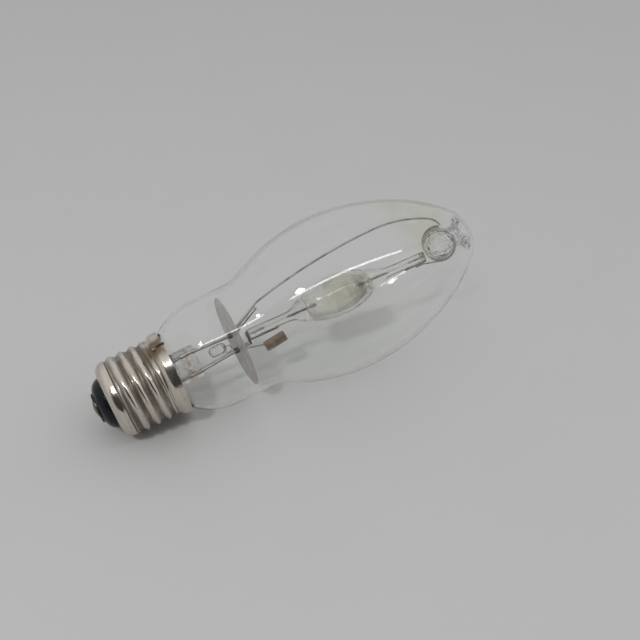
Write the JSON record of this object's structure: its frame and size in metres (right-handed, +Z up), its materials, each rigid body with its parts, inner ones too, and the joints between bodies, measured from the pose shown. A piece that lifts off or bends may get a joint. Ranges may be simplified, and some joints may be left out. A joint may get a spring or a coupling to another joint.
{
  "type": "metal halide lamp",
  "caption": "Clear metal halide lamp with a bulged glass bulb, quartz arc tube on a wire frame and a medium screw cap, lying on its side.",
  "frame": {"origin": "middle of the lying lamp's box, on the surface it lies on", "axes": "+Z up, +X from the screw cap to the dome, +Y away from the camera"},
  "size_m": [0.1366, 0.054, 0.0554],
  "materials": {
    "solder": "satin",
    "contact_brass": "satin",
    "insulator_glass": "glossy",
    "cap_nickel": "satin",
    "cement": "matte",
    "wire": "satin",
    "strap_steel": "satin",
    "clear_glass": "glossy",
    "quartz": "glossy",
    "mica": "satin",
    "getter_brown": "matte",
    "foil": "satin",
    "tungsten": "matte",
    "white_coat": "matte",
    "salts": "matte"
  },
  "bodies": {
    "root": {"contact_solder": "solder", "centre_contact": "contact_brass", "insulator": "insulator_glass", "screw_shell": "cap_nickel", "base_cement": "cement", "side_lead": "wire", "side_weld": "solder", "centre_lead": "wire", "outer_bulb": "clear_glass", "stem": "clear_glass", "exhaust_tube": "clear_glass", "long_rod": "wire", "short_rod": "wire", "shield_stop_long": "strap_steel", "shield_stop_short": "strap_steel", "heat_shield": "mica", "starting_capsule": "clear_glass", "capsule_wire": "wire", "getter_wire": "wire", "getter_flag": "getter_brown", "bow_wire": "wire", "dimple_loop": "wire", "link_wire": "wire", "lower_strap": "strap_steel", "upper_strap": "strap_steel", "arc_tube": "quartz", "lower_arc_lead": "wire", "upper_arc_lead": "wire", "lower_foil": "foil", "upper_foil": "foil", "lower_electrode": "tungsten", "upper_electrode": "tungsten", "lower_coating": "white_coat", "upper_coating": "white_coat", "halide_salts": "salts"}
  },
  "joints": []
}
